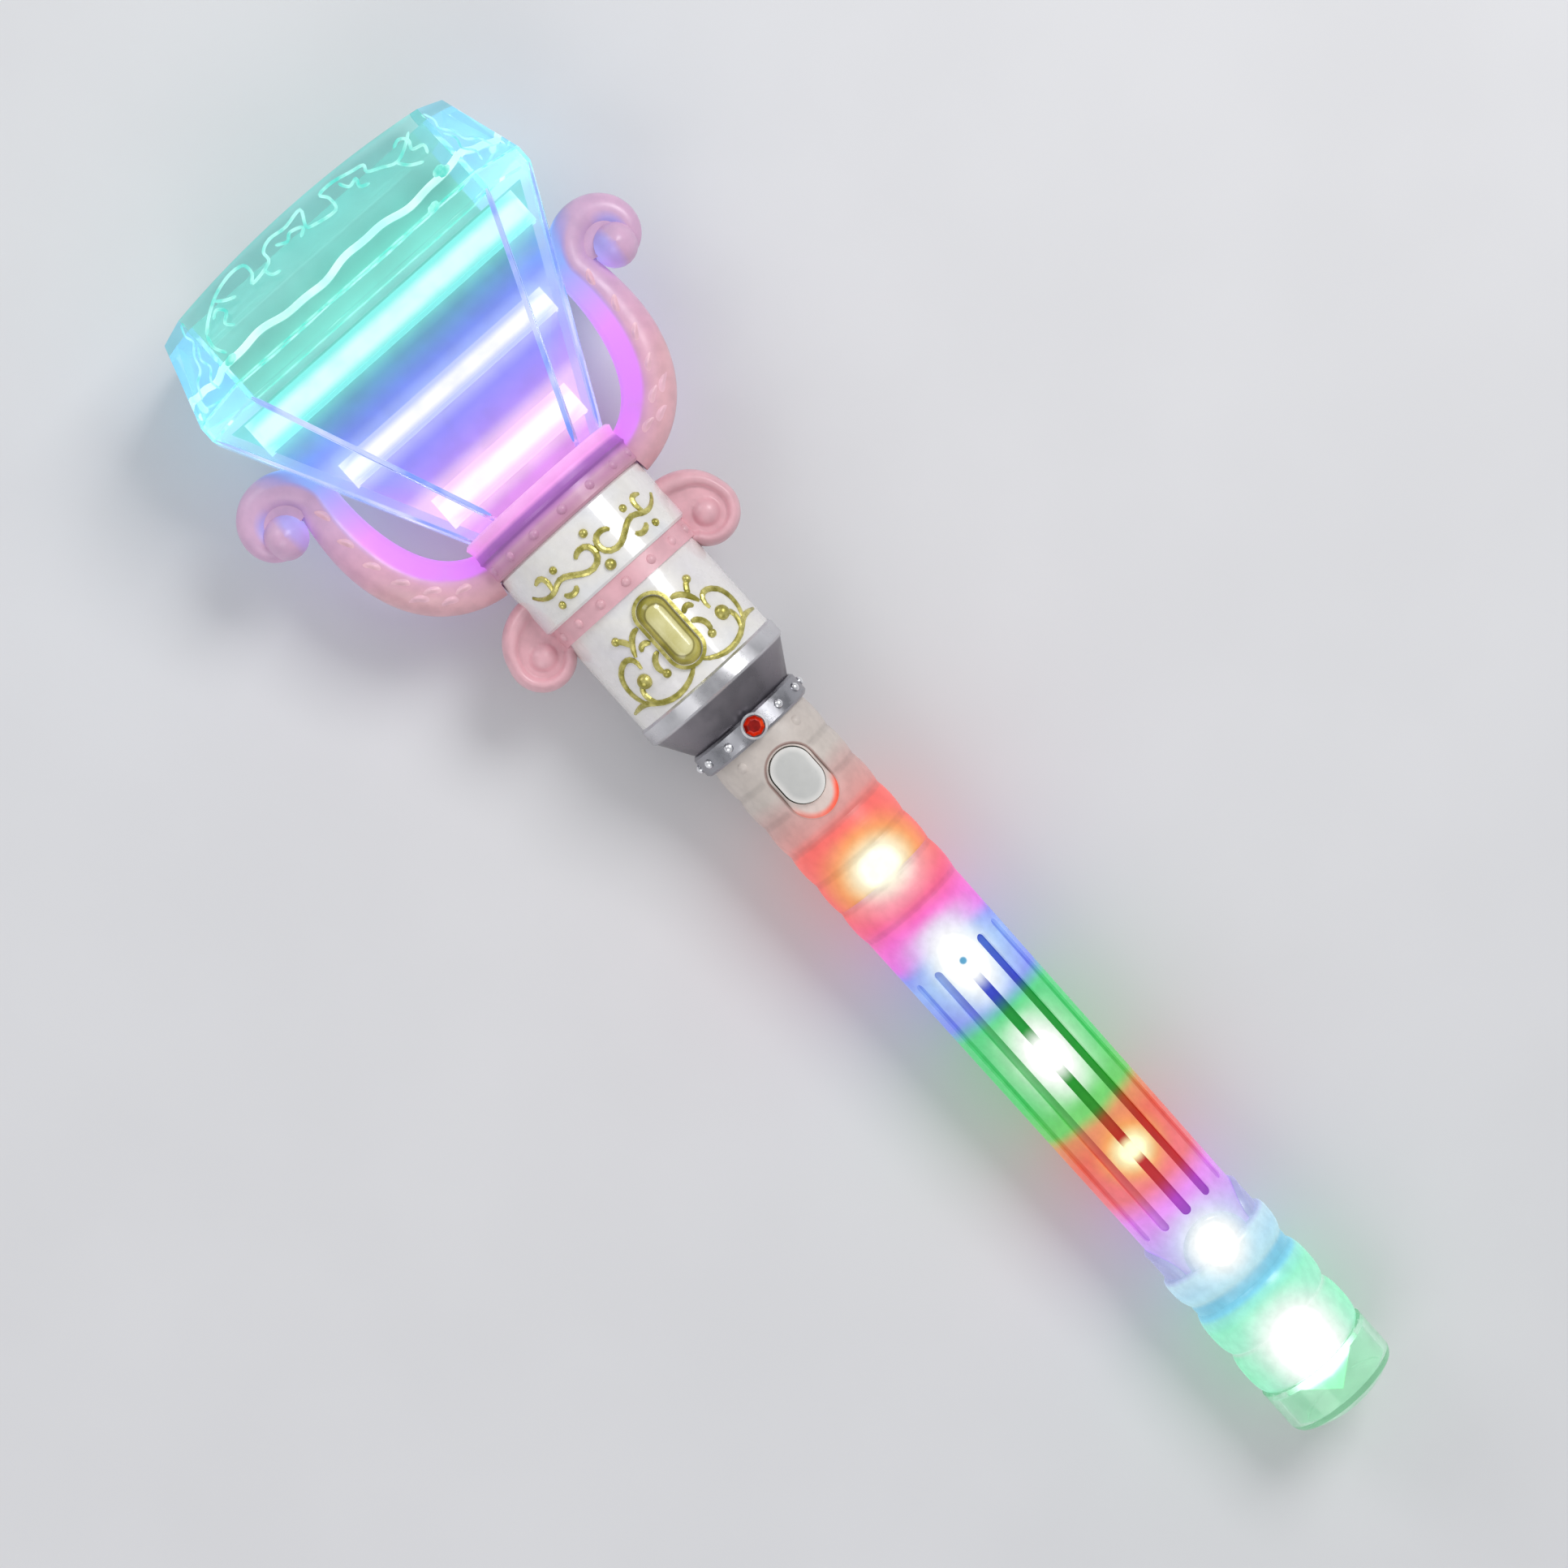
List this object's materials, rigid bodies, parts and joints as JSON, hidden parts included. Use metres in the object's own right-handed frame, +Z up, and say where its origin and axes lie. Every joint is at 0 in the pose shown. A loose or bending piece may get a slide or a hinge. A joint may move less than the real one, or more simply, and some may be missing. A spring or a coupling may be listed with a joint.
{
  "type": "toy magic wand",
  "caption": "Light-up toy wand with a faceted crystal head in scroll arms, a decorated neck, a fluted lit handle with a push button, and a ringed pommel with a clear domed end.",
  "frame": {"origin": "on the floor under the middle of the wand's length, with the wand lying on its back", "axes": "+X along the wand from pommel to crystal, +Y to the wand's left, +Z up through the button, with the wand tilted as it rests on its end cap and crystal"},
  "size_m": [0.3796, 0.1214, 0.0541],
  "materials": {
    "clear_cap": "clear green tint",
    "light_core": "faceted clear plastic, lit",
    "mint_pommel": "translucent, lit from inside",
    "frosted_handle": "frosted translucent, lit from inside",
    "button": "satin",
    "switch": "moulded",
    "board": "white",
    "led": "lit",
    "cell": "printed sleeve on a metal can",
    "steel": "nickel plated",
    "silver": "silver metallic paint",
    "red_jewel": "cut and polished",
    "pearl": "pearl white",
    "gold": "gold metallic paint",
    "pink": "satin pink",
    "light": "milky, lit from below",
    "crystal": "clear, faceted",
    "wire_red": "insulated",
    "wire_black": "insulated"
  },
  "bodies": {
    "wand": {"end_cap": "clear_cap", "pommel_core": "light_core", "pommel_sleeve": "mint_pommel", "handle_front": "frosted_handle", "handle_back": "frosted_handle", "switch_body": "switch", "led_board": "board", "head_board": "board", "battery_tray": "board", "handle_led_1": "led", "handle_led_2": "led", "handle_led_3": "led", "handle_led_4": "led", "handle_led_5": "led", "handle_led_6": "led", "head_led_1": "led", "head_led_2": "led", "head_led_3": "led", "battery_1": "cell", "battery_2": "cell", "battery_3": "cell", "battery_spring": "steel", "battery_plate": "steel", "jewel_band": "silver", "flare_cone": "silver", "red_jewel": "red_jewel", "neck_core": "pearl", "neck_lower_sleeve": "pearl", "neck_upper_sleeve": "pearl", "cabochon": "gold", "neck_scrolls": "gold", "neck_vine": "gold", "neck_band": "pink", "volute_left": "pink", "volute_right": "pink", "socket_collar": "pink", "scroll_arm_left": "pink", "scroll_arm_right": "pink", "diffuser_panel": "light", "light_bar_1": "light", "light_bar_2": "light", "light_bar_3": "light", "crystal_body": "crystal", "crystal_crown": "crystal", "wire_red": "wire_red", "wire_black": "wire_black"},
    "button": {"button_cap": "button", "switch_plunger": "switch"},
    "door": {"battery_door": "frosted_handle", "door_screw": "steel"}
  },
  "joints": [
    {"name": "button_press", "type": "slide", "parent": "wand", "child": "button", "axis": [0.0338, 0, -0.9994], "range_m": [0, 0.0009], "stiffness_N_per_m": 800},
    {"name": "battery_door_lift", "type": "slide", "parent": "wand", "child": "door", "axis": [0.0338, 0, -0.9994], "range_m": [0, 0.008]}
  ]
}
